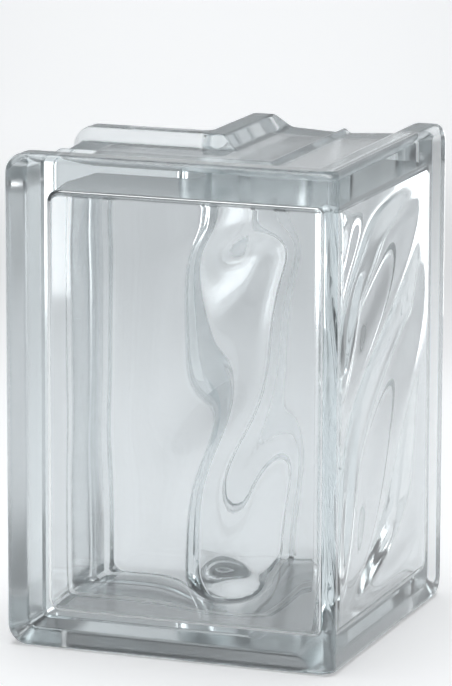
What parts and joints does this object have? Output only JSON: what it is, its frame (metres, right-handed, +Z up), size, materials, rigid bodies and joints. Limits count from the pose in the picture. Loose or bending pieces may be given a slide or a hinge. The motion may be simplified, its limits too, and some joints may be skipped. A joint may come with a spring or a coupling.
{
  "type": "corner glass block",
  "caption": "Clear hollow corner glass block, L-shaped in plan, with wavy inner faces and a mortar channel round its edges, for turning a glazed wall through a right angle.",
  "frame": {"origin": "middle of the square that the footprint fits in, at floor level", "axes": "+Z up along the block's height; the wide outer faces look to -Y and +X, and the narrow inner faces to +Y and -X"},
  "size_m": [0.132, 0.132, 0.19],
  "materials": {
    "clear_glass": "smooth and clear"
  },
  "bodies": {
    "root": {"glass_block": "clear_glass"}
  },
  "joints": []
}
